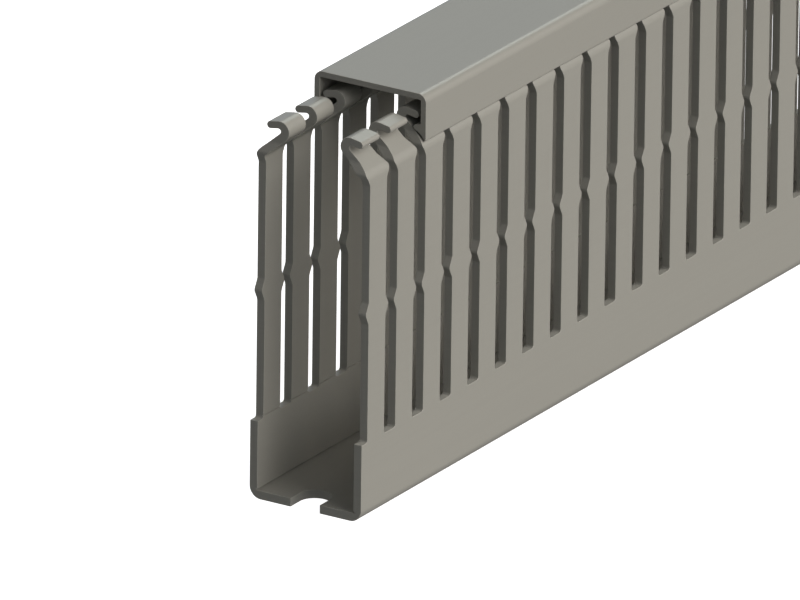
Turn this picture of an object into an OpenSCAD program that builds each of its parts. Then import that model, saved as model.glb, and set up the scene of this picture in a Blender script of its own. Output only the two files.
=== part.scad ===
/* [Duct] */
// Length of the duct and of its cover
duct_len = 500; // [100:10:600]
// Outside width over the side walls
duct_w = 25; // [20:1:60]
// Overall height with the cover on
duct_h = 80; // [60:1:100]
// Thickness of the side walls and hooks
wall_t = 1.75; // [1.5:0.05:1.9]
// Thickness of the floor
floor_t = 1.75; // [1.2:0.05:2.2]
// Outside radius of the two lower edges
edge_r = 2.5; // [2:0.1:3]
// Depth of the score cut along the foot of each wall and of each row of fingers
score_d = 0.3; // [0.1:0.05:0.4]
// Height of the mouth of each score
score_h = 0.3; // [0.2:0.05:0.5]

/* [Wire slots] */
// Distance from one wire slot to the next
slot_pitch = 10; // [8:0.5:20]
// Width of a wire slot
slot_w = 4; // [3:0.25:5]
// Height of the closed wall below the slots
slot_z = 15.8; // [8:0.1:25]
// Radius in the two lower corners of a slot
slot_r = 0.5; // [0.2:0.1:1]
// Height of the middle of the lower nibs above the underside
nib_z = 41.9; // [34:0.1:44]
// How far each nib narrows its slot
nib_d = 1; // [0.5:0.1:1.2]
// Length of a nib up the finger
nib_h = 4.3; // [3.6:0.1:5.2]
// Radius of the nose of a nib
nib_r = 0.9; // [0.5:0.1:1]

/* [Hooks] */
// How far a hook reaches in from the outside of its wall
hook_reach = 6.8; // [6.4:0.1:8]
// Angle of the shoulder above the horizontal
slope_a = 41; // [36:1:43]
// Inside radius of the bend from wall to shoulder
bend_r = 1; // [0.8:0.05:1.5]
// Outside radius of the curl at the top
curl_r = 2.05; // [1.95:0.05:2.3]
// Radius of the throat under the lip
throat_r = 0.55; // [0.4:0.05:0.6]
// Thickness of the lip
lip_t = 1.45; // [1.2:0.05:1.5]
// Angle by which the lip droops outwards
lip_a = 10; // [6:1:12]

/* [Cover] */
// Thickness of the cover
cover_t = 1.2; // [1:0.1:1.5]
// Outside radius of the two top edges
cover_r = 1.8; // [1.4:0.1:3]
// Inside radius of the two top edges
cover_in_r = 0.3; // [0.2:0.1:1]
// How far the cover stands back from the front end
setback = 21.7; // [0:0.1:100]
// Free height between the hooks and the cover
head_gap = 2.15; // [1:0.05:4]
// Free width between a lip and the cover's leg
lip_gap = 0.6; // [0.4:0.05:1]
// Gap between a shoulder and the barb and foot that seat on it
seat_gap = 0.25; // [0.2:0.05:0.4]
// Radius of the hollow between a barb and the foot of its leg
seat_r = 4; // [3.6:0.1:6]
// How far a barb reaches in from the leg
barb_d = 1.6; // [1.4:0.05:1.8]
// Radius of a barb's nose
barb_r = 0.55; // [0.4:0.05:0.6]
// Angle of a barb's top above the horizontal
barb_a = 12; // [4:1:20]
// Width and height of the bevel at the outside foot of a leg
foot_bevel = 0.3; // [0.2:0.05:0.5]

/* [Floor slots] */
// Width of a fixing slot in the floor
hole_w = 6.5; // [4.5:0.5:8]
// Length of a fixing slot, end to end
hole_l = 13.6; // [10:0.2:20]
// Distance from one fixing slot to the next
hole_pitch = 50; // [25:5:100]

/* [Hidden] */
$fn = 64;
over = 1;
// How far a chord may lie from the true arc in the wire slots, in the fingers and in the rest
slot_dev = 0.04;
finger_dev = 0.025;
fine_dev = 0.01;

front_y = -duct_len / 2;
side_x = duct_w / 2;
inner_x = side_x - wall_t;
slot_count = floor(duct_len / slot_pitch);
hole_count = floor(duct_len / hole_pitch);

// Curl: its centre, with the top of the hooks a free height under the cover
hook_top = duct_h - cover_t - head_gap;
curl = [side_x - hook_reach + curl_r, hook_top - curl_r];
slope_in = [-sin(slope_a), -cos(slope_a)];
slope_up = [-cos(slope_a), sin(slope_a)];

// Shoulder: it lies along the curl's lower tangent, and meets the wall in a bend
bend_out = bend_r + wall_t;
bend_x = side_x - bend_out;
slope_end = curl + curl_r * slope_in;
slope_len = (slope_end[0] - bend_x + bend_r * slope_in[0]) / slope_up[0];
bend = slope_end - slope_len * slope_up + bend_r * slope_in;

// Lip: its tip stands a free width inside the cover's leg
tip_r = lip_t / 2;
tip_x = side_x - cover_t - lip_gap - tip_r;
lip_len = (tip_x - curl[0] - (curl_r - tip_r) * sin(lip_a)) / cos(lip_a);
tip = curl + (curl_r - tip_r) * [sin(lip_a), cos(lip_a)] + lip_len * [cos(lip_a), -sin(lip_a)];

// Throat: a circle that touches the shoulder's outer face and the lip's underside
throat_low = wall_t - curl_r + throat_r;
throat_high = curl_r - lip_t - throat_r;
throat = curl + [
    throat_low * cos(lip_a) - throat_high * cos(slope_a),
    throat_high * sin(slope_a) - throat_low * sin(lip_a)
] / sin(slope_a - lip_a);

// Upper nibs: level with the crown of the shoulder bend
crown_z = bend[1] + bend_out * sin((90 - slope_a) / 2);
break_z = slot_z + slot_r;

// Barb: its nose clears the shoulder's outer face by the seat gap, and the foot clears the bend by it
leg_x = side_x - cover_t;
barb_x = leg_x - barb_d + barb_r;
barb_out = bend_out + seat_gap + barb_r - (barb_x - bend[0]) * sin(slope_a);
barb = [barb_x, bend[1] + barb_out / cos(slope_a)];
barb_top = barb[1] + (barb_r + (leg_x - barb_x) * sin(barb_a)) / cos(barb_a);
foot_x = side_x - foot_bevel;
foot = [foot_x, bend[1] + sqrt(pow(bend_out + seat_gap, 2) - pow(foot_x - bend[0], 2))];

// Hollow: an arc that touches the nose and ends at the foot
span = foot - barb;
along = (pow(seat_r + barb_r, 2) - pow(seat_r, 2) + span * span) / (2 * norm(span));
across = sqrt(pow(seat_r + barb_r, 2) - pow(along, 2));
hollow = barb + (along * span + across * [span[1], -span[0]]) / norm(span);
nose_end = 360 + atan2(hollow[1] - barb[1], hollow[0] - barb[0]);
hollow_end = atan2(foot[1] - hollow[1], foot[0] - hollow[0]);

// Points along an arc, the ends included
function arc(centre, r, from, to, dev = finger_dev) =
    let (steps = ceil(abs(to - from) / (2 * acos(1 - dev / r))))
    [for (i = [0:steps]) let (a = from + (to - from) * i / steps) centre + r * [cos(a), sin(a)]];

function after_first(points) = [for (i = [1:len(points) - 1]) points[i]];

function mirrored(points) = [for (i = [len(points) - 1:-1:0]) [-points[i][0], points[i][1]]];

// Right half of the duct's outline, from the middle of the underside to the middle of the floor
right_half = concat(
    arc([side_x - edge_r, edge_r], edge_r, -90, 0, fine_dev),
    arc(bend, bend_out, 0, 90 - slope_a),
    arc(throat, throat_r, 270 - slope_a, 90 - lip_a),
    arc(tip, tip_r, 270 - lip_a, 450 - lip_a),
    arc(curl, curl_r, 90 - lip_a, 270 - slope_a),
    arc(bend, bend_r, 90 - slope_a, 0),
    [
        [inner_x, break_z + score_h / 2], [inner_x + score_d, break_z], [inner_x, break_z - score_h / 2],
        [inner_x, floor_t + score_h], [inner_x + score_d, floor_t + score_h], [inner_x + score_d, floor_t]
    ]
);

nose_x = slot_w / 2 - nib_d + nib_r;
flank = norm([nib_h / 2, nib_d - nib_r]);
nose_a = 90 - acos(nib_r / flank) + atan2(nib_d - nib_r, nib_h / 2);

function nib(z) = concat(
    [[slot_w / 2, z - nib_h / 2]],
    arc([nose_x, z], nib_r, 180 + nose_a, 180 - nose_a, slot_dev),
    [[slot_w / 2, z + nib_h / 2]]
);

slot_half = concat(
    arc([slot_w / 2 - slot_r, slot_z + slot_r], slot_r, -90, 0, slot_dev),
    nib(nib_z),
    nib(crown_z),
    [[slot_w / 2, hook_top + over]]
);

module duct_section() {
    polygon(concat(right_half, mirrored(right_half)));
}

module wire_slot() {
    translate([-side_x - over, 0, 0]) rotate([90, 0, 90])
        linear_extrude(duct_w + 2 * over) polygon(concat(slot_half, mirrored(slot_half)));
}

module fixing_slot() {
    run = (hole_l - hole_w) / 2;
    translate([0, 0, -over]) linear_extrude(floor_t + 2 * over) {
        square([hole_w, 2 * run], center = true);
        for (y = [-run, run]) translate([0, y]) circle(hole_w / 2);
    }
}

module duct_base() {
    color([0.49, 0.49, 0.46])
    difference() {
        translate([0, -front_y, 0]) rotate([90, 0, 0]) linear_extrude(duct_len) duct_section();
        for (i = [0:slot_count]) translate([0, front_y + i * slot_pitch, 0]) wire_slot();
        for (i = [0:hole_count]) translate([0, front_y + i * hole_pitch, 0]) fixing_slot();
    }
}

cover_half = concat(
    arc([leg_x - cover_in_r, duct_h - cover_t - cover_in_r], cover_in_r, 90, 0, fine_dev),
    [[leg_x, barb_top]],
    arc(barb, barb_r, 90 + barb_a, nose_end, fine_dev),
    after_first(arc(hollow, seat_r, nose_end - 180, hollow_end, fine_dev)),
    [[side_x, foot[1] + foot_bevel]],
    arc([side_x - cover_r, duct_h - cover_r], cover_r, 0, 90, fine_dev)
);

module cover() {
    color([0.60, 0.60, 0.57])
    translate([0, setback - front_y, 0]) rotate([90, 0, 0])
        linear_extrude(duct_len) polygon(concat(cover_half, mirrored(cover_half)));
}

duct_base();
cover();
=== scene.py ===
import math

import bpy
import numpy as np
from mathutils import Matrix, Vector


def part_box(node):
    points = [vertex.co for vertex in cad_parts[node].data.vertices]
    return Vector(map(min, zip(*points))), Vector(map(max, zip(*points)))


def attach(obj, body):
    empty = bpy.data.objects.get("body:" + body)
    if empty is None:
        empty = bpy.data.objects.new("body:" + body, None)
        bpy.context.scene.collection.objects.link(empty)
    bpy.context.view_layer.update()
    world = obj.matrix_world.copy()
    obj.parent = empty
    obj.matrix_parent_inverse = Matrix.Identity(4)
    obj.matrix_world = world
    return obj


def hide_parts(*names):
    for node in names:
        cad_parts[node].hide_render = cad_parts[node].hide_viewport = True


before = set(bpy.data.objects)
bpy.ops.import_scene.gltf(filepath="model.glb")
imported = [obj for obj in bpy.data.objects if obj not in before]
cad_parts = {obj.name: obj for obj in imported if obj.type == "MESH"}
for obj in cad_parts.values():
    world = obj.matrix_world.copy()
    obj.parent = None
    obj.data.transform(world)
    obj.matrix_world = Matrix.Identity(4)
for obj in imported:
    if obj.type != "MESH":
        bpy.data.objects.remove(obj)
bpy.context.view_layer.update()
baseLow, baseHigh = (np.array(corner) * 1000 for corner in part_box("duct_base"))
coverLow, coverHigh = (np.array(corner) * 1000 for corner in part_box("cover"))
print("frame loaded, sizes in mm:", np.round(baseHigh - baseLow, 2), np.round(coverHigh - coverLow, 2))

weld = 1e-4  # in mm: points nearer than this are one
tiny = 1e-6  # in mm: lengths that differ by less are equal
mirrorY = np.array([1, -1, 1])


# Surfaces. A patch holds points in mm, one normal and one cut value a point, and faces as rows of
# point numbers. A cut value is 1 on a sawn or punched face and 0 on an extruded one.

def turn(degrees):  # unit vectors (cos a, sin a)
    a = np.radians(np.atleast_1d(degrees))
    return np.stack([np.cos(a), np.sin(a)], -1)


def arc(centre, radius, start, stop, steps, side=1):
    # Points centre + radius * (cos a, sin a), a from start to stop, each with its normal.
    # side is -1 where the material lies outside the arc.
    way = turn(np.linspace(start, stop, steps + 1))
    return np.hstack([centre + radius * way, side * way])


def gridPatch(points, normals, cut):
    # A face joins each pair of rows between each pair of columns of points[row, column]
    rows, columns = points.shape[:2]
    corner = np.arange(rows * columns).reshape(rows, columns)
    faces = np.stack([corner[:-1, :-1], corner[:-1, 1:], corner[1:, 1:], corner[1:, :-1]], -1)
    normals = np.broadcast_to(normals, points.shape)
    cut = np.broadcast_to(cut, (rows, columns))
    return dict(points=points.reshape(-1, 3), normals=normals.reshape(-1, 3), cut=cut.reshape(-1),
                faces=[faces.reshape(-1, 4)])


def flatPatch(points, normal, cut=0.0):  # one flat face, its corners turning left round the normal
    count = len(points)
    return dict(points=points, normals=np.tile(np.array(normal, float), (count, 1)),
                cut=np.full(count, cut), faces=[np.arange(count)[None, :]])


def moved(patch, shifts):  # a copy of the patch at each shift
    copies = len(shifts)
    starts = len(patch["points"]) * np.arange(copies)[:, None, None]
    return dict(points=(patch["points"] + shifts[:, None]).reshape(-1, 3),
                normals=np.tile(patch["normals"], (copies, 1)), cut=np.tile(patch["cut"], copies),
                faces=[(f + starts).reshape(-1, f.shape[1]) for f in patch["faces"]])


def flipped(patch, axis):  # the mirror image across the plane where that axis is 0
    sign = np.ones(3)
    sign[axis] = -1
    return dict(points=patch["points"] * sign, normals=patch["normals"] * sign, cut=patch["cut"],
                faces=[f[:, ::-1] for f in patch["faces"]])


def buildPiece(name, patches, body):
    # Puts the patches into one mesh. Points nearer than the weld are joined, and a face loses the
    # corners that fall together.
    starts = np.cumsum([0] + [len(p["points"]) for p in patches])
    points = np.concatenate([p["points"] for p in patches])
    normals = np.concatenate([p["normals"] for p in patches])
    cut = np.concatenate([p["cut"] for p in patches])
    keys = np.round(points / weld).astype(np.int64)
    _, first, same = np.unique(keys, axis=0, return_index=True, return_inverse=True)
    same = same.reshape(-1)
    corners, sizes = [], []
    for start, patch in zip(starts, patches):
        for faces in patch["faces"]:
            faces = faces + start
            joined = same[faces]
            keep = joined != np.roll(joined, 1, axis=1)
            keep &= (keep.sum(1) > 2)[:, None]
            corners.append(faces[keep])
            sizes.append(keep.sum(1)[keep.any(1)])
    corners, sizes = np.concatenate(corners), np.concatenate(sizes)
    mesh = bpy.data.meshes.new(name)
    mesh.vertices.add(len(first))
    mesh.vertices.foreach_set("co", (points[first] / 1000).astype(np.float32).ravel())
    mesh.loops.add(len(corners))
    mesh.loops.foreach_set("vertex_index", same[corners].astype(np.int32))
    mesh.polygons.add(len(sizes))
    mesh.polygons.foreach_set("loop_start", (np.cumsum(sizes) - sizes).astype(np.int32))
    mesh.polygons.foreach_set("use_smooth", np.ones(len(sizes), bool))
    mesh.update(calc_edges=True)
    attribute = mesh.attributes.new("cutFace", "FLOAT", "CORNER")
    attribute.data.foreach_set("value", cut[corners].astype(np.float32))
    facing = normals[corners]
    facing = facing / np.linalg.norm(facing, axis=1)[:, None]
    mesh.normals_split_custom_set(facing)
    piece = bpy.data.objects.new(name, mesh)
    bpy.context.scene.collection.objects.link(piece)
    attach(piece, body)
    print(name, "has", len(first), "points and", int((sizes - 2).sum()), "triangles")
    return piece


# Edge rounding: a quarter circle of radius edge, from a face (f = 0) round to the cut beside it (f = 90).
# At f the surface has sunk edge * (1 - cos f) from the face and is edge * (1 - sin f) short of the cut.

def roundSteps(edge, steps):
    f = turn(np.linspace(0, 90, steps + 1))
    return edge * (1 - f[:, 0]), edge * (1 - f[:, 1]), f[:, 0], f[:, 1]


def cornerWays(runs):
    # The way each outline point moves as the outline shrinks: along its normal, or the mitre at a crease
    ways = [run[:, 2:].copy() for run in runs]
    for i in range(len(runs)):
        last, first = runs[i - 1][-1], runs[i][0]
        if np.abs(last[:2] - first[:2]).max() < tiny:
            mitre = (last[2:] + first[2:]) / (1 + last[2:] @ first[2:])
            ways[i - 1][-1] = mitre
            ways[i][0] = mitre
    return ways


def endPatches(runs, y, out, edge, steps):
    # Closes an extrusion at y: rows follow the outline, columns go round the edge onto the flat end.
    # The runs go left round the section seen from the front; out is -1 at the front and 1 at the back.
    sink, back, faceShare, endShare = roundSteps(edge, steps)
    patches, rim = [], []
    for run, ways in zip(runs, cornerWays(runs)):
        place = run[:, None, :2] - sink[None, :, None] * ways[:, None]
        along = np.broadcast_to(y - out * back, place.shape[:2])
        points = np.stack([place[..., 0], along, place[..., 1]], -1)
        lateral = np.stack([run[:, 2], np.zeros(len(run)), run[:, 3]], -1)
        normals = faceShare[:, None] * lateral[:, None] + endShare[:, None] * np.array([0, out, 0])
        patches.append(gridPatch(points, normals, endShare))
        rim.append(points[:, -1])
    rim = np.concatenate(rim)
    rim = rim[np.linalg.norm(rim - np.roll(rim, 1, axis=0), axis=1) > tiny]
    patches.append(flatPatch(rim, (0, out, 0), 1.0))
    if out < 0:
        patches[:-1] = [dict(p, faces=[f[:, ::-1] for f in p["faces"]]) for p in patches[:-1]]
    else:
        patches[-1] = dict(patches[-1], faces=[f[:, ::-1] for f in patches[-1]["faces"]])
    return patches


def pulledIn(patch, front, rear, edge):
    # Points on the end planes go back to where the rounding of the ends starts
    points = patch["points"].copy()
    points[np.abs(points[:, 1] - front) < tiny, 1] = front + edge
    points[np.abs(points[:, 1] - rear) < tiny, 1] = rear - edge
    return dict(patch, points=points)


# Slotted duct. Sizes in mm, angles in degrees. Its length and width come from the frame, and hookDrop is
# how far the hooks stay under the cover's top. Steps are numbers of faces round a curve, and a row of
# points less than rowGap above the one before is left out.
duct = dict(
    wall=1.75, floor=1.75, cornerRadius=2.5, scoreDepth=0.3, scoreHeight=0.3,
    pitch=10.0, slotWidth=4.0, slotFoot=15.8, slotRadius=0.5,
    nibHeight=41.9, nibReach=1.0, nibLength=4.3, nibNose=0.9, nibFillet=1.2,
    hookReach=6.8, hookDrop=3.35, shoulderAngle=41.0, bendRadius=1.0, curlRadius=2.05,
    throatRadius=0.55, lipThickness=1.45, lipAngle=10.0, lipSetIn=1.8,
    holeWidth=6.5, holeLength=13.6, holePitch=50.0,
    edge=0.08, edgeSteps=2, cornerSteps=8, bendSteps=5, innerBendSteps=3, curlSteps=9, tipSteps=4,
    holeSteps=10, filletSteps=3, rowGap=0.06,
)
sideX = baseHigh[0]
innerX = sideX - duct["wall"]
frontY, rearY = baseLow[1], baseHigh[1]
cellCount = int(round((rearY - frontY) / duct["pitch"]))
halfCell = duct["pitch"] / 2
halfFinger = halfCell - duct["slotWidth"] / 2
rootZ = duct["slotFoot"] + duct["slotRadius"]
# The normal of the upper flank of a finger's score, which is a V across the inner face
scoreWay = -np.array([duct["scoreHeight"] / 2, duct["scoreDepth"]])
scoreWay /= np.linalg.norm(scoreWay)

# Hook section: the centres and angles of its arcs, each tangent to the next stretch
slopeA, lipA = duct["shoulderAngle"], duct["lipAngle"]
slopeIn, slopeUp = -turn(90 - slopeA)[0], turn(180 - slopeA)[0]
lipUp, lipOut = turn(90 - lipA)[0], turn(-lipA)[0]
hookTop = coverHigh[2] - duct["hookDrop"]
curl = np.array([sideX - duct["hookReach"] + duct["curlRadius"], hookTop - duct["curlRadius"]])
bendOuter = duct["bendRadius"] + duct["wall"]
slopeEnd = curl + duct["curlRadius"] * slopeIn
slopeLength = (slopeEnd[0] - sideX + bendOuter + duct["bendRadius"] * slopeIn[0]) / slopeUp[0]
bend = slopeEnd - slopeLength * slopeUp + duct["bendRadius"] * slopeIn
tipRadius = duct["lipThickness"] / 2
tipX = sideX - duct["lipSetIn"] - tipRadius
lipLength = (tipX - curl[0] - (duct["curlRadius"] - tipRadius) * lipUp[0]) / lipOut[0]
tip = curl + (duct["curlRadius"] - tipRadius) * lipUp + lipLength * lipOut
throatLow = duct["wall"] - duct["curlRadius"] + duct["throatRadius"]
throatHigh = duct["curlRadius"] - duct["lipThickness"] - duct["throatRadius"]
throat = curl + (throatLow * lipOut + throatHigh * slopeUp) / math.sin(math.radians(slopeA - lipA))
crownZ = bend[1] + bendOuter * math.sin(math.radians(90 - slopeA) / 2)

# Nib: a flank that leaves the finger's edge in a fillet and ends in a round nose
nibHalf = duct["nibLength"] / 2
noseIn = duct["nibReach"] - duct["nibNose"]
flankA = math.asin(duct["nibNose"] / math.hypot(nibHalf, noseIn)) + math.atan2(noseIn, nibHalf)
flankSlope = math.tan(flankA)
filletRun = duct["nibFillet"] * math.tan(flankA / 2)
filletRise = duct["nibFillet"] * math.sin(flankA)
noseRun = duct["nibNose"] * math.sin(flankA)
filletEnd = nibHalf - filletRun * math.cos(flankA)


def nibProfile(z):
    # Half width of a finger at height z, and its slope. From a nib's middle the edge runs along the nose
    # arc, the straight flank and the fillet arc to the flat.
    width = np.full(z.shape, halfFinger)
    slope = np.zeros(z.shape)
    for middle in (duct["nibHeight"], crownZ):
        away = np.abs(z - middle)
        sign = np.sign(z - middle)
        nose = away <= noseRun
        flank = (away > noseRun) & (away <= filletEnd)
        fillet = (away > filletEnd) & (away < nibHalf + filletRun)
        root = np.sqrt(np.maximum(duct["nibNose"] ** 2 - away ** 2, tiny))
        width = np.where(nose, halfFinger + noseIn + root, width)
        slope = np.where(nose, -sign * away / root, slope)
        width = np.where(flank, halfFinger + (nibHalf - away) * flankSlope, width)
        slope = np.where(flank, -sign * flankSlope, slope)
        left = np.clip(nibHalf + filletRun - away, 0, filletRise)
        root = np.sqrt(duct["nibFillet"] ** 2 - left ** 2)
        width = np.where(fillet, halfFinger + duct["nibFillet"] - root, width)
        slope = np.where(fillet, -sign * left / root, slope)
    return width, slope


def nibLevels(middle):  # heights of the rows over one nib
    fillet = np.linspace(filletEnd, nibHalf + filletRun, duct["filletSteps"] + 1)
    half = np.concatenate([[0, noseRun / 2, noseRun], fillet])
    return np.concatenate([middle - half, middle + half[1:]])


def outlineAt(z, radius, faceX):
    # Point and normal at height z on the wall, then on a bend of that radius, then on the shoulder
    side = 1 if radius > duct["bendRadius"] else -1
    bendTop = math.sin(math.radians(90 - slopeA))
    way = turn(np.degrees(np.arcsin(np.clip((z - bend[1]) / radius, 0, bendTop))))
    past = np.maximum(z - bend[1] - radius * bendTop, 0) / slopeUp[1]
    x = bend[0] + radius * way[:, 0] + past * slopeUp[0]
    x = np.where(z < bend[1], faceX, x)
    return np.stack([x, z, side * way[:, 0], side * way[:, 1]], -1)


def makeFinger():
    # Rows follow the hook section from the root up the outer face, round the tip and down the inner face;
    # columns go across the finger, round both its edges. The two cut faces join outer and inner rows.
    sink, back, faceShare, cutShare = roundSteps(duct["edge"], duct["edgeSteps"])
    grooveTop = rootZ + duct["scoreHeight"] / 2
    levels = [[rootZ, grooveTop, slopeEnd[1]], nibLevels(duct["nibHeight"]), nibLevels(crownZ)]
    for radius, steps in ((bendOuter, "bendSteps"), (duct["bendRadius"], "innerBendSteps")):
        levels.append(bend[1] + radius * turn(np.linspace(0, 90 - slopeA, duct[steps] + 1))[:, 1])
    levels = np.sort(np.concatenate(levels))
    levels = levels[np.concatenate([[True], np.diff(levels) > duct["rowGap"]])]
    outer = [outlineAt(levels, bendOuter, sideX)]
    inner = [outlineAt(levels, duct["bendRadius"], innerX)]
    # While the inner face goes round the curl, the outer face has a row halfway to the throat and then
    # the throat's arc, so both have as many rows
    curlSteps = duct["curlSteps"]
    throatArc = arc(throat, duct["throatRadius"], 270 - slopeA, 90 - lipA, curlSteps - 2, -1)
    outer.append(np.vstack([(outer[0][-1:] + throatArc[:1]) / 2, throatArc]))
    inner.append(arc(curl, duct["curlRadius"], 270 - slopeA, 90 - lipA, curlSteps)[1:])
    tipSteps = duct["tipSteps"]
    outer.append(arc(tip, tipRadius, -90 - lipA, -lipA, tipSteps))
    inner.append(arc(tip, tipRadius, 90 - lipA, -lipA, tipSteps))
    outer, inner = np.vstack(outer), np.vstack(inner)
    inner[0, 0] += duct["scoreDepth"]  # the first row lies at the bottom of the score

    def columns(run, faceWay=None):
        # Points, normals and cut normals on the +Y half; columns go from the face round the edge
        x = run[:, None, 0] - sink * run[:, None, 2]
        z = run[:, None, 1] - sink * run[:, None, 3]
        width, slope = nibProfile(z)
        points = np.stack([x, width - back, z], -1)
        faceWay = run[:, 2:] if faceWay is None else np.tile(faceWay, (len(run), 1))
        face = np.stack([faceWay[:, 0], np.zeros(len(run)), faceWay[:, 1]], -1)[:, None]
        cutNormal = np.stack([np.zeros(slope.shape), np.ones(slope.shape), -slope], -1)
        cutNormal /= np.linalg.norm(cutNormal, axis=-1)[..., None]
        return points, faceShare[:, None] * face + cutShare[:, None] * cutNormal, cutNormal

    def band(run, faceWay=None):  # the face along a run with both its rounded edges
        points, normals, _ = columns(run, faceWay)
        points = np.concatenate([points[:, ::-1] * mirrorY, points], 1)
        normals = np.concatenate([normals[:, ::-1] * mirrorY, normals], 1)
        cut = np.concatenate([cutShare[::-1], cutShare])
        return gridPatch(points, normals, cut)

    patches = [band(np.vstack([outer, inner[-2:0:-1]])), band(inner[1::-1], scoreWay)]
    outerPoints, _, outerCut = columns(outer)
    innerPoints, _, innerCut = columns(inner)
    ends = np.stack([outerPoints[:, -1], innerPoints[:, -1]], 1)
    endNormals = np.stack([outerCut[:, -1], innerCut[:, -1]], 1)
    side = gridPatch(ends, endNormals, 1.0)
    patches += [side, flipped(side, 1)]
    return patches


def makeRoot():
    # Wall, slot foot, scores and lower corner of one cell, centred on its finger
    edge, radius = duct["edge"], duct["slotRadius"]
    grooveHalf = duct["scoreHeight"] / 2
    sink, back, faceShare, cutShare = roundSteps(edge, duct["edgeSteps"])
    creaseA = 180 + math.degrees(math.asin(grooveHalf / (radius + edge)))
    way = turn([180, creaseA, (creaseA + 270) / 2, 270])
    centre = np.array([halfFinger + radius, rootZ])
    # Rows go down the slot's corner arc and along its foot to the cell's side
    reach = radius + back
    y = np.vstack([centre[0] + way[:, :1] * reach, np.full((1, len(back)), halfCell)])
    z = np.vstack([centre[1] + way[:, 1:] * reach, duct["slotFoot"] - back[None]])
    inPlane = np.vstack([-way, [[0, 1]]])
    cutNormal = np.stack([np.zeros(len(inPlane)), inPlane[:, 0], inPlane[:, 1]], -1)[:, None]
    groove = duct["scoreDepth"] * np.maximum(1 - np.abs(z - rootZ) / grooveHalf, 0)

    def rim(x, face):
        normals = faceShare[:, None] * np.array(face, float) + cutShare[:, None] * cutNormal
        return np.stack([x, y, z], -1), normals

    outerPoints, outerNormals = rim(sideX - np.broadcast_to(sink, y.shape), (1, 0, 0))
    innerPoints, innerNormals = rim(innerX + groove + sink, (-1, 0, 0))
    lowerFlank = (scoreWay[0], 0, -scoreWay[1])
    _, grooveNormals = rim(innerX + groove + sink, lowerFlank)
    rims = [gridPatch(outerPoints[:, ::-1], outerNormals[:, ::-1], cutShare[::-1]),
            gridPatch(innerPoints[1:], innerNormals[1:], cutShare),
            gridPatch(innerPoints[:2], grooveNormals[:2], cutShare),
            gridPatch(np.stack([innerPoints[:, -1], outerPoints[:, -1]], 1), cutNormal, 1.0)]
    patches = rims + [flipped(p, 1) for p in rims]

    # The flat faces between the rims of the two slots beside it, outside and inside
    cornerTop = duct["cornerRadius"]
    skirt = outerPoints[:, 0]
    low = np.array([[sideX, -halfCell, cornerTop], [sideX, halfCell, cornerTop]])
    patches.append(flatPatch(np.vstack([low, skirt[::-1], skirt * mirrorY]), (1, 0, 0)))
    skirt = innerPoints[1:, 0]
    wallFoot = duct["floor"] + duct["scoreHeight"]
    low = np.array([[innerX, -halfCell, wallFoot], [innerX, halfCell, wallFoot]])
    patches.append(flatPatch(np.vstack([low, skirt[::-1], skirt * mirrorY])[::-1], (-1, 0, 0)))
    crease = innerPoints[:2, 0]
    patches.append(flatPatch(np.vstack([crease[::-1] * mirrorY, crease]), lowerFlank))

    # Strips along the cell: the lower outside corner and the three faces of the corner score
    corner = arc(np.array([sideX - cornerTop, cornerTop]), cornerTop, -90, 0, duct["cornerSteps"])
    patches += [strip(corner)] + [strip(run) for run in cornerScore()]
    return patches


def strip(run, half=halfCell):  # an outline run carried along Y from -half to half
    points = np.stack([np.repeat(run[:, :1], 2, 1), np.broadcast_to([-half, half], (len(run), 2)),
                       np.repeat(run[:, 1:2], 2, 1)], -1)
    normals = np.stack([run[:, 2], np.zeros(len(run)), run[:, 3]], -1)[:, None]
    return gridPatch(points, normals, 0.0)


def cornerScore():
    # The score runs from the inside corner into the wall: its ceiling, its back and the floor under it,
    # with normals down, inwards and up
    depth, height, floor = duct["scoreDepth"], duct["scoreHeight"], duct["floor"]
    marks = np.array([[innerX, floor + height], [innerX + depth, floor + height], [innerX + depth, floor],
                      [innerX, floor]])
    return [np.hstack([marks[i:i + 2], np.tile(turn(a), (2, 1))]) for i, a in enumerate((270, 180, 90))]


def makeFloor(slotted):
    # Both faces of the floor's right half over one cell. A slotted cell holds half a fixing slot,
    # cut off by its low side: a straight stretch and a quarter circle, with rounded rims.
    edge, floor = duct["edge"], duct["floor"]
    underX, topX = sideX - duct["cornerRadius"], innerX
    if not slotted:
        low = np.array([[0, -halfCell], [0, halfCell]])
        patches = []
    else:
        sink, back, faceShare, cutShare = roundSteps(edge, duct["edgeSteps"])
        radius = duct["holeWidth"] / 2
        run = duct["holeLength"] / 2 - radius - halfCell
        way = turn(np.linspace(0, 90, duct["holeSteps"] + 1))
        way = np.vstack([[[1, 0]], way])
        centreY = np.concatenate([[-halfCell], np.full(len(way) - 1, run)])
        reach = radius + back
        x = way[:, :1] * reach
        y = centreY[:, None] + way[:, 1:] * reach
        inward = np.stack([-way[:, 0], -way[:, 1], np.zeros(len(way))], -1)[:, None]
        under = np.stack([x, y, np.broadcast_to(sink, x.shape)], -1)
        top = np.stack([x, y, np.broadcast_to(floor - sink, x.shape)], -1)
        underNormals = faceShare[:, None] * np.array([0, 0, -1.0]) + cutShare[:, None] * inward
        topNormals = faceShare[:, None] * np.array([0, 0, 1.0]) + cutShare[:, None] * inward
        patches = [gridPatch(under, underNormals, cutShare),
                   gridPatch(top[:, ::-1], topNormals[:, ::-1], cutShare[::-1]),
                   gridPatch(np.stack([under[:, -1], top[:, -1]], 1), inward, 1.0)]
        low = np.vstack([under[:, 0, :2], [[0, halfCell]]])
    for flatX, z, out in ((underX, 0.0, -1), (topX, floor, 1)):
        outline = np.vstack([low, [[flatX, halfCell], [flatX, -halfCell]]])
        outline = np.column_stack([outline, np.full(len(outline), z)])
        patches.append(flatPatch(outline if out < 0 else outline[::-1], (0, 0, out)))
    return patches


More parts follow.
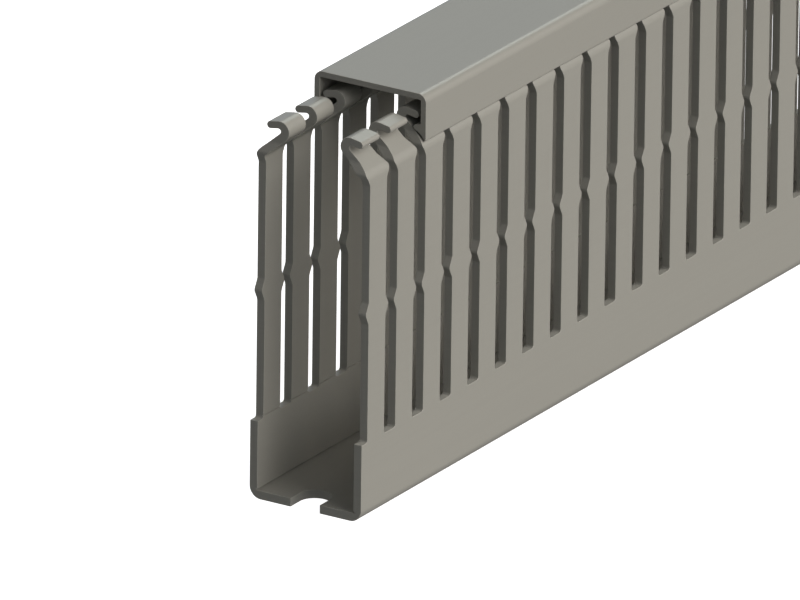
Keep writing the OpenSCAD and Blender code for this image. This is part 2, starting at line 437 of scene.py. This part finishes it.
def makeDuct():
    # The right half is a finger, its root and a stretch of floor at every cell, closed by the two ends.
    # Its mirror image makes the left half.
    cells = frontY + halfCell + duct["pitch"] * np.arange(cellCount)
    along = np.zeros((cellCount, 3))
    along[:, 1] = cells
    right = [moved(p, along) for p in makeFinger() + makeRoot()]

    # A fixing slot's middle lies between two cells, or on an end, where half of it is cut off
    holeAt = np.round((cells - halfCell - frontY) % duct["holePitch"], 3)
    starts = holeAt == 0
    stops = holeAt == duct["holePitch"] - duct["pitch"]
    slotted = makeFloor(True)
    right += [moved(p, along[starts]) for p in slotted]
    right += [moved(flipped(p, 1), along[stops]) for p in slotted]
    right += [moved(p, along[~(starts | stops)]) for p in makeFloor(False)]

    # The end outline: under the floor, up the wall, over the slot's foot, down the inside, over the floor
    edge, steps = duct["edge"], duct["edgeSteps"]
    holeX = duct["holeWidth"] / 2
    cornerTop, floor, foot = duct["cornerRadius"], duct["floor"], duct["slotFoot"]
    outline = np.vstack([
        arc(np.array([holeX + edge, edge]), edge, 180, 270, steps),
        arc(np.array([sideX - cornerTop, cornerTop]), cornerTop, -90, 0, duct["cornerSteps"]),
        arc(np.array([sideX - edge, foot - edge]), edge, 0, 90, steps),
        arc(np.array([innerX + edge, foot - edge]), edge, 90, 180, steps),
        [[innerX, floor + duct["scoreHeight"], -1, 0]],
    ])
    inside = np.vstack([[[innerX, floor, 0, 1]],
                        arc(np.array([holeX + edge, floor - edge]), edge, 90, 180, steps), outline[:1]])
    runs = [outline] + cornerScore() + [inside]
    right = [pulledIn(p, frontY, rearY, edge) for p in right]
    right += endPatches(runs, frontY, -1, edge, steps)
    right += endPatches(runs, rearY, 1, edge, steps)
    return right + [flipped(p, 0) for p in right]


ductPiece = buildPiece("ductBase", makeDuct(), "duct")
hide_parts("duct_base")


# Cover: a flat top, two legs, and a barb and a hollow inside each foot that seat on a shoulder. Sizes in
# mm, angles in degrees. Its length, width and height come from the frame, and spans is how many
# stretches the length has.
cover = dict(
    thickness=1.2, cornerRadius=1.8, innerRadius=0.3, seatGap=0.25, hollowRadius=4.0,
    barbReach=1.6, barbNose=0.55, barbAngle=12.0, footBevel=0.3,
    edge=0.08, edgeSteps=2, cornerSteps=10, innerSteps=4, noseSteps=10, hollowSteps=6, spans=20,
)


def coverRuns():
    # The right half of the section, from the middle of the underside to the middle of the top
    top, thick, nose = coverHigh[2], cover["thickness"], cover["barbNose"]
    legX = coverHigh[0] - thick
    gap = bendOuter + cover["seatGap"]
    # The barb's nose clears the shoulder by the seat gap, and the foot clears the bend by it
    barbX = legX - cover["barbReach"] + nose
    slope, rise = math.radians(slopeA), math.radians(cover["barbAngle"])
    clear = gap + nose - (barbX - bend[0]) * math.sin(slope)
    barb = np.array([barbX, bend[1] + clear / math.cos(slope)])
    barbTop = barb[1] + (nose + (legX - barbX) * math.sin(rise)) / math.cos(rise)
    footX = coverHigh[0] - cover["footBevel"]
    foot = np.array([footX, bend[1] + math.sqrt(gap ** 2 - (footX - bend[0]) ** 2)])
    # The hollow is an arc that touches the nose and ends at the foot
    hollowRadius = cover["hollowRadius"]
    span = foot - barb
    length = np.linalg.norm(span)
    along = ((hollowRadius + nose) ** 2 - hollowRadius ** 2 + length ** 2) / (2 * length)
    across = math.sqrt((hollowRadius + nose) ** 2 - along ** 2)
    hollow = barb + (along * span + across * np.array([span[1], -span[0]])) / length
    noseEnd = 360 + math.degrees(math.atan2(*(hollow - barb)[::-1]))
    hollowEnd = math.degrees(math.atan2(*(foot - hollow)[::-1]))
    # Four runs with a crease between each two: ceiling and leg, barb and hollow, bevel, leg and top
    inner, outer = cover["innerRadius"], cover["cornerRadius"]
    innerCentre = np.array([legX - inner, top - thick - inner])
    outerCentre = np.array([coverHigh[0] - outer, top - outer])
    bevelTop = [coverHigh[0], foot[1] + cover["footBevel"]]
    barbWay = 90 + cover["barbAngle"]
    return [
        np.vstack([[[0, top - thick, 0, -1]],
                   arc(innerCentre, inner, 90, 0, cover["innerSteps"], -1),
                   [[legX, barbTop, -1, 0]]]),
        np.vstack([[[legX, barbTop, *turn(barbWay)[0]]],
                   arc(barb, nose, barbWay, noseEnd, cover["noseSteps"]),
                   arc(hollow, hollowRadius, noseEnd - 180, hollowEnd, cover["hollowSteps"], -1)[1:]]),
        np.hstack([[foot, bevelTop], np.tile(turn(-45), (2, 1))]),
        np.vstack([[[*bevelTop, 1, 0]],
                   arc(outerCentre, outer, 0, 90, cover["cornerSteps"]),
                   [[0, top, 0, 1]]]),
    ]


def makeCover():
    # The right half is the section carried from end to end in spans, and its mirror image the left half
    front, rear, edge = coverLow[1], coverHigh[1], cover["edge"]
    half = (rear - front) / cover["spans"] / 2
    along = np.zeros((cover["spans"], 3))
    along[:, 1] = front + half * (1 + 2 * np.arange(cover["spans"]))
    runs = coverRuns()
    right = [pulledIn(moved(strip(run, half), along), front, rear, edge) for run in runs]
    right += endPatches(runs, front, -1, edge, cover["edgeSteps"])
    right += endPatches(runs, rear, 1, edge, cover["edgeSteps"])
    return right + [flipped(p, 0) for p in right]


coverPiece = buildPiece("coverStrip", makeCover(), "cover")
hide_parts("cover")


# Materials

noiseLow, noiseHigh = 0.3, 0.7  # most values of a noise lie between these


def linear(code):  # sRGB hex to linear: ((c + 0.055) / 1.055) ^ 2.4, or c / 12.92 when dark
    c = np.array([int(code[i:i + 2], 16) for i in (1, 3, 5)]) / 255
    c = np.where(c > 0.04045, ((c + 0.055) / 1.055) ** 2.4, c / 12.92)
    return (*(float(v) for v in c), 1.0)


def addNode(tree, kind, props=None, values=None, links=None):
    # One node with its settings; links join an input to (node, output)
    node = tree.nodes.new(kind)
    for name, value in (props or {}).items():
        setattr(node, name, value)
    for name, value in (values or {}).items():
        node.inputs[name].default_value = value
    for name, (source, output) in (links or {}).items():
        tree.links.new(source.outputs[output], node.inputs[name])
    return node


def addRigidPvc(name, look):
    # Rigid PVC, extruded through a die and then punched or sawn. The die leaves a satin skin with fine
    # lines along the duct and a faint cloudiness. The cuts are a little duller, with fine marks through
    # the wall.
    material = bpy.data.materials.new(name)
    material.use_nodes = True
    tree = material.node_tree
    tree.nodes.clear()
    place = addNode(tree, "ShaderNodeTexCoord")
    cut = addNode(tree, "ShaderNodeAttribute", props={"attribute_name": "cutFace"})
    noise, shade = {}, {}
    for pattern, detail in (("line", 2.0), ("cloud", 3.0), ("grain", 1.0), ("mark", 2.0)):
        # Noise whose cells have the pattern's size along X, Y and Z, and the shade that it gives
        cells = [1000 / size for size in look[pattern + "Size"]]
        scale = addNode(tree, "ShaderNodeMapping", values={"Scale": cells},
                        links={"Vector": (place, "Object")})
        noise[pattern] = addNode(tree, "ShaderNodeTexNoise", values={"Scale": 1.0, "Detail": detail},
                                 links={"Vector": (scale, "Vector")})
        amount = look[pattern + "Shade"]
        shade[pattern] = addNode(tree, "ShaderNodeMapRange",
                                 values={"From Min": noiseLow, "From Max": noiseHigh,
                                         "To Min": 1 - amount, "To Max": 1 + amount},
                                 links={"Value": (noise[pattern], "Fac")})

    # Rounded edges, where the cut value is between 0 and 1, are painted lighter: by cut * (1 - cut),
    # which is
    # 0.25 at most. This is a painted highlight along the edges, with a little wear.
    rest = addNode(tree, "ShaderNodeMath", props={"operation": "SUBTRACT"}, values={0: 1.0},
                   links={1: (cut, "Fac")})
    edgeHighlightAndWear = addNode(tree, "ShaderNodeMath", props={"operation": "MULTIPLY"},
                   links={0: (cut, "Fac"), 1: (rest, 0)})
    edgeHighlightAndWearShade = addNode(tree, "ShaderNodeMapRange",
                        values={"From Max": 0.25, "To Min": 1.0, "To Max": 1 + look["edgeHighlightAndWearShade"]},
                        links={"Value": (edgeHighlightAndWear, 0)})
    tone = addNode(tree, "ShaderNodeMix", props={"data_type": "FLOAT"},
                   links={0: (cut, "Fac"), 2: (shade["line"], 0), 3: (shade["mark"], 0)})
    for part in (shade["cloud"], shade["grain"], edgeHighlightAndWearShade):
        tone = addNode(tree, "ShaderNodeMath", props={"operation": "MULTIPLY"},
                       links={0: (tone, 0), 1: (part, 0)})
    colour = addNode(tree, "ShaderNodeVectorMath", props={"operation": "SCALE"},
                     values={0: linear(look["colour"])[:3]}, links={"Scale": (tone, 0)})

    swing = look["roughnessSwing"]
    skinRough = addNode(tree, "ShaderNodeMapRange",
                        values={"From Min": noiseLow, "From Max": noiseHigh,
                                "To Min": look["roughness"] - swing, "To Max": look["roughness"] + swing},
                        links={"Value": (noise["cloud"], "Fac")})
    roughness = addNode(tree, "ShaderNodeMix", props={"data_type": "FLOAT"},
                        values={3: look["cutRoughness"]}, links={0: (cut, "Fac"), 2: (skinRough, 0)})

    relief = addNode(tree, "ShaderNodeMix", props={"data_type": "FLOAT"},
                     links={0: (cut, "Fac"), 2: (noise["line"], "Fac"), 3: (noise["mark"], "Fac")})
    coarse = addNode(tree, "ShaderNodeBump",
                     values={"Strength": 1.0, "Distance": look["lineHeight"] / 1000},
                     links={"Height": (relief, 0)})
    fine = addNode(tree, "ShaderNodeBump",
                   values={"Strength": 1.0, "Distance": look["grainHeight"] / 1000},
                   links={"Height": (noise["grain"], "Fac"), "Normal": (coarse, 0)})
    surface = addNode(tree, "ShaderNodeBsdfPrincipled", values={"IOR": look["ior"]},
                      links={"Base Color": (colour, 0), "Roughness": (roughness, 0), "Normal": (fine, 0)})
    addNode(tree, "ShaderNodeOutputMaterial", links={"Surface": (surface, 0)})
    return material


# Sizes in mm. A shade is how much lighter and darker a pattern makes the colour, as a part of it. The
# real grain and die lines are about 0.1 mm and are drawn coarser, so that they show.
ductLook = dict(
    colour="#908E86", ior=1.53, roughness=0.33, roughnessSwing=0.04, cutRoughness=0.5,
    lineSize=(0.8, 90, 0.8), lineShade=0.008, lineHeight=0.004,
    grainSize=(0.6, 0.6, 0.6), grainShade=0.004, grainHeight=0.004,
    cloudSize=(45, 120, 45), cloudShade=0.01,
    # The last shade is the painted highlight on the rounded edges, which also stands for a little wear
    markSize=(8, 0.7, 0.5), markShade=0.02, edgeHighlightAndWearShade=0.3,
)
coverLook = dict(ductLook, lineSize=(0.9, 110, 0.9), roughness=0.31)
ductPiece.data.materials.append(addRigidPvc("rigidPvcDuct", ductLook))
coverPiece.data.materials.append(addRigidPvc("rigidPvcCover", coverLook))
print("materials made")


# Floor, light and camera. Sizes in metres; the floor lies a hair under the duct.
stage = dict(
    floorColour="#F4F4F2", floorGlow=1.0, floorRoughness=0.9, floorHalf=30.0, floorDrop=0.00005,
    ambient=0.2, ambientColour="#FCFEFF",
    # Where each comes from (azimuth from +X towards +Y, and elevation), its spread, strength and colour
    lights=dict(
        key=((9.0, 27.0), 66.0, 3.53, "#FFFBF7"),
        behind=((126.0, 8.0), 30.0, 0.11, "#DCEEFF"),
        above=((108.0, 38.0), 26.0, 0.45, "#F5FFFB"),
        fill=((330.0, 30.0), 50.0, 0.07, "#8FC3FF"),
        farSide=((166.0, 3.0), 24.0, 1.3, "#FFFDFB"),
    ),
)
# Lens and sensor in mm; the target is measured from the middle of the duct's front end, on its underside
camera = dict(azimuth=31.65, elevation=21.0487, roll=0.7157, lens=1250.0, sensor=36.0, distance=5.2902,
              near=0.05, far=40.0, target=(0.0, 0.033431, 0.032072))


def makeStageFloor():
    half = stage["floorHalf"]
    mesh = bpy.data.meshes.new("floor")
    corners = [(-half, -half, 0), (half, -half, 0), (half, half, 0), (-half, half, 0)]
    mesh.from_pydata(corners, [], [(0, 1, 2, 3)])
    floor = bpy.data.objects.new("floor", mesh)
    bpy.context.scene.collection.objects.link(floor)
    floor.location.z = -stage["floorDrop"]
    floor.visible_diffuse = False
    floor.visible_glossy = False
    material = bpy.data.materials.new("paleFloor")
    material.use_nodes = True
    tree = material.node_tree
    surface = tree.nodes["Principled BSDF"]
    surface.inputs["Base Color"].default_value = linear(stage["floorColour"])
    surface.inputs["Roughness"].default_value = stage["floorRoughness"]
    surface.inputs["Specular IOR Level"].default_value = 0.0
    surface.inputs["Emission Color"].default_value = (1, 1, 1, 1)
    surface.inputs["Emission Strength"].default_value = stage["floorGlow"]
    mesh.materials.append(material)


def addLight(name, comesFrom, spread, strength, colour):
    light = bpy.data.lights.new(name, "SUN")
    light.energy = strength
    light.color = linear(colour)[:3]
    light.angle = math.radians(spread)
    lamp = bpy.data.objects.new(name, light)
    azimuth, elevation = map(math.radians, comesFrom)
    way = Vector((math.cos(azimuth) * math.cos(elevation), math.sin(azimuth) * math.cos(elevation),
                  math.sin(elevation)))
    lamp.rotation_mode = "QUATERNION"
    lamp.rotation_quaternion = way.to_track_quat("Z", "Y")
    bpy.context.scene.collection.objects.link(lamp)


def makeWorld():
    world = bpy.data.worlds.new("studio")
    bpy.context.scene.world = world
    world.use_nodes = True
    tree = world.node_tree
    tree.nodes.clear()
    seen = addNode(tree, "ShaderNodeLightPath")
    around = addNode(tree, "ShaderNodeBackground",
                     values={"Color": linear(stage["ambientColour"]), "Strength": stage["ambient"]})
    backdrop = addNode(tree, "ShaderNodeBackground", values={"Color": (1, 1, 1, 1), "Strength": 1.0})
    both = addNode(tree, "ShaderNodeMixShader",
                   links={0: (seen, "Is Camera Ray"), 1: (around, 0), 2: (backdrop, 0)})
    addNode(tree, "ShaderNodeOutputWorld", links={"Surface": (both, 0)})


def makeCamera():
    # The photo's lines stay parallel, so the camera stands far off behind a long lens
    azimuth, elevation, roll = (math.radians(camera[k]) for k in ("azimuth", "elevation", "roll"))
    back = np.array([math.sin(azimuth) * math.cos(elevation), -math.cos(azimuth) * math.cos(elevation),
                     math.sin(elevation)])
    level = np.array([math.cos(azimuth), math.sin(azimuth), 0.0])
    plumb = np.cross(back, level)
    right = math.cos(roll) * level + math.sin(roll) * plumb
    up = math.cos(roll) * plumb - math.sin(roll) * level
    target = np.array(camera["target"]) + np.array([0, frontY / 1000, 0])
    data = bpy.data.cameras.new("photoCamera")
    data.lens = camera["lens"]
    data.sensor_width = camera["sensor"]
    data.clip_start, data.clip_end = camera["near"], camera["far"]
    eye = bpy.data.objects.new("photoCamera", data)
    pose = Matrix.Identity(4)
    for row in range(3):
        pose[row][0], pose[row][1], pose[row][2] = right[row], up[row], back[row]
        pose[row][3] = target[row] + back[row] * camera["distance"]
    eye.matrix_world = pose
    bpy.context.scene.collection.objects.link(eye)
    bpy.context.scene.camera = eye


makeStageFloor()
for lightName, settings in stage["lights"].items():
    addLight(lightName, *settings)
makeWorld()
makeCamera()
bpy.context.scene.view_settings.view_transform = "Standard"
print("stage, light and camera ready")
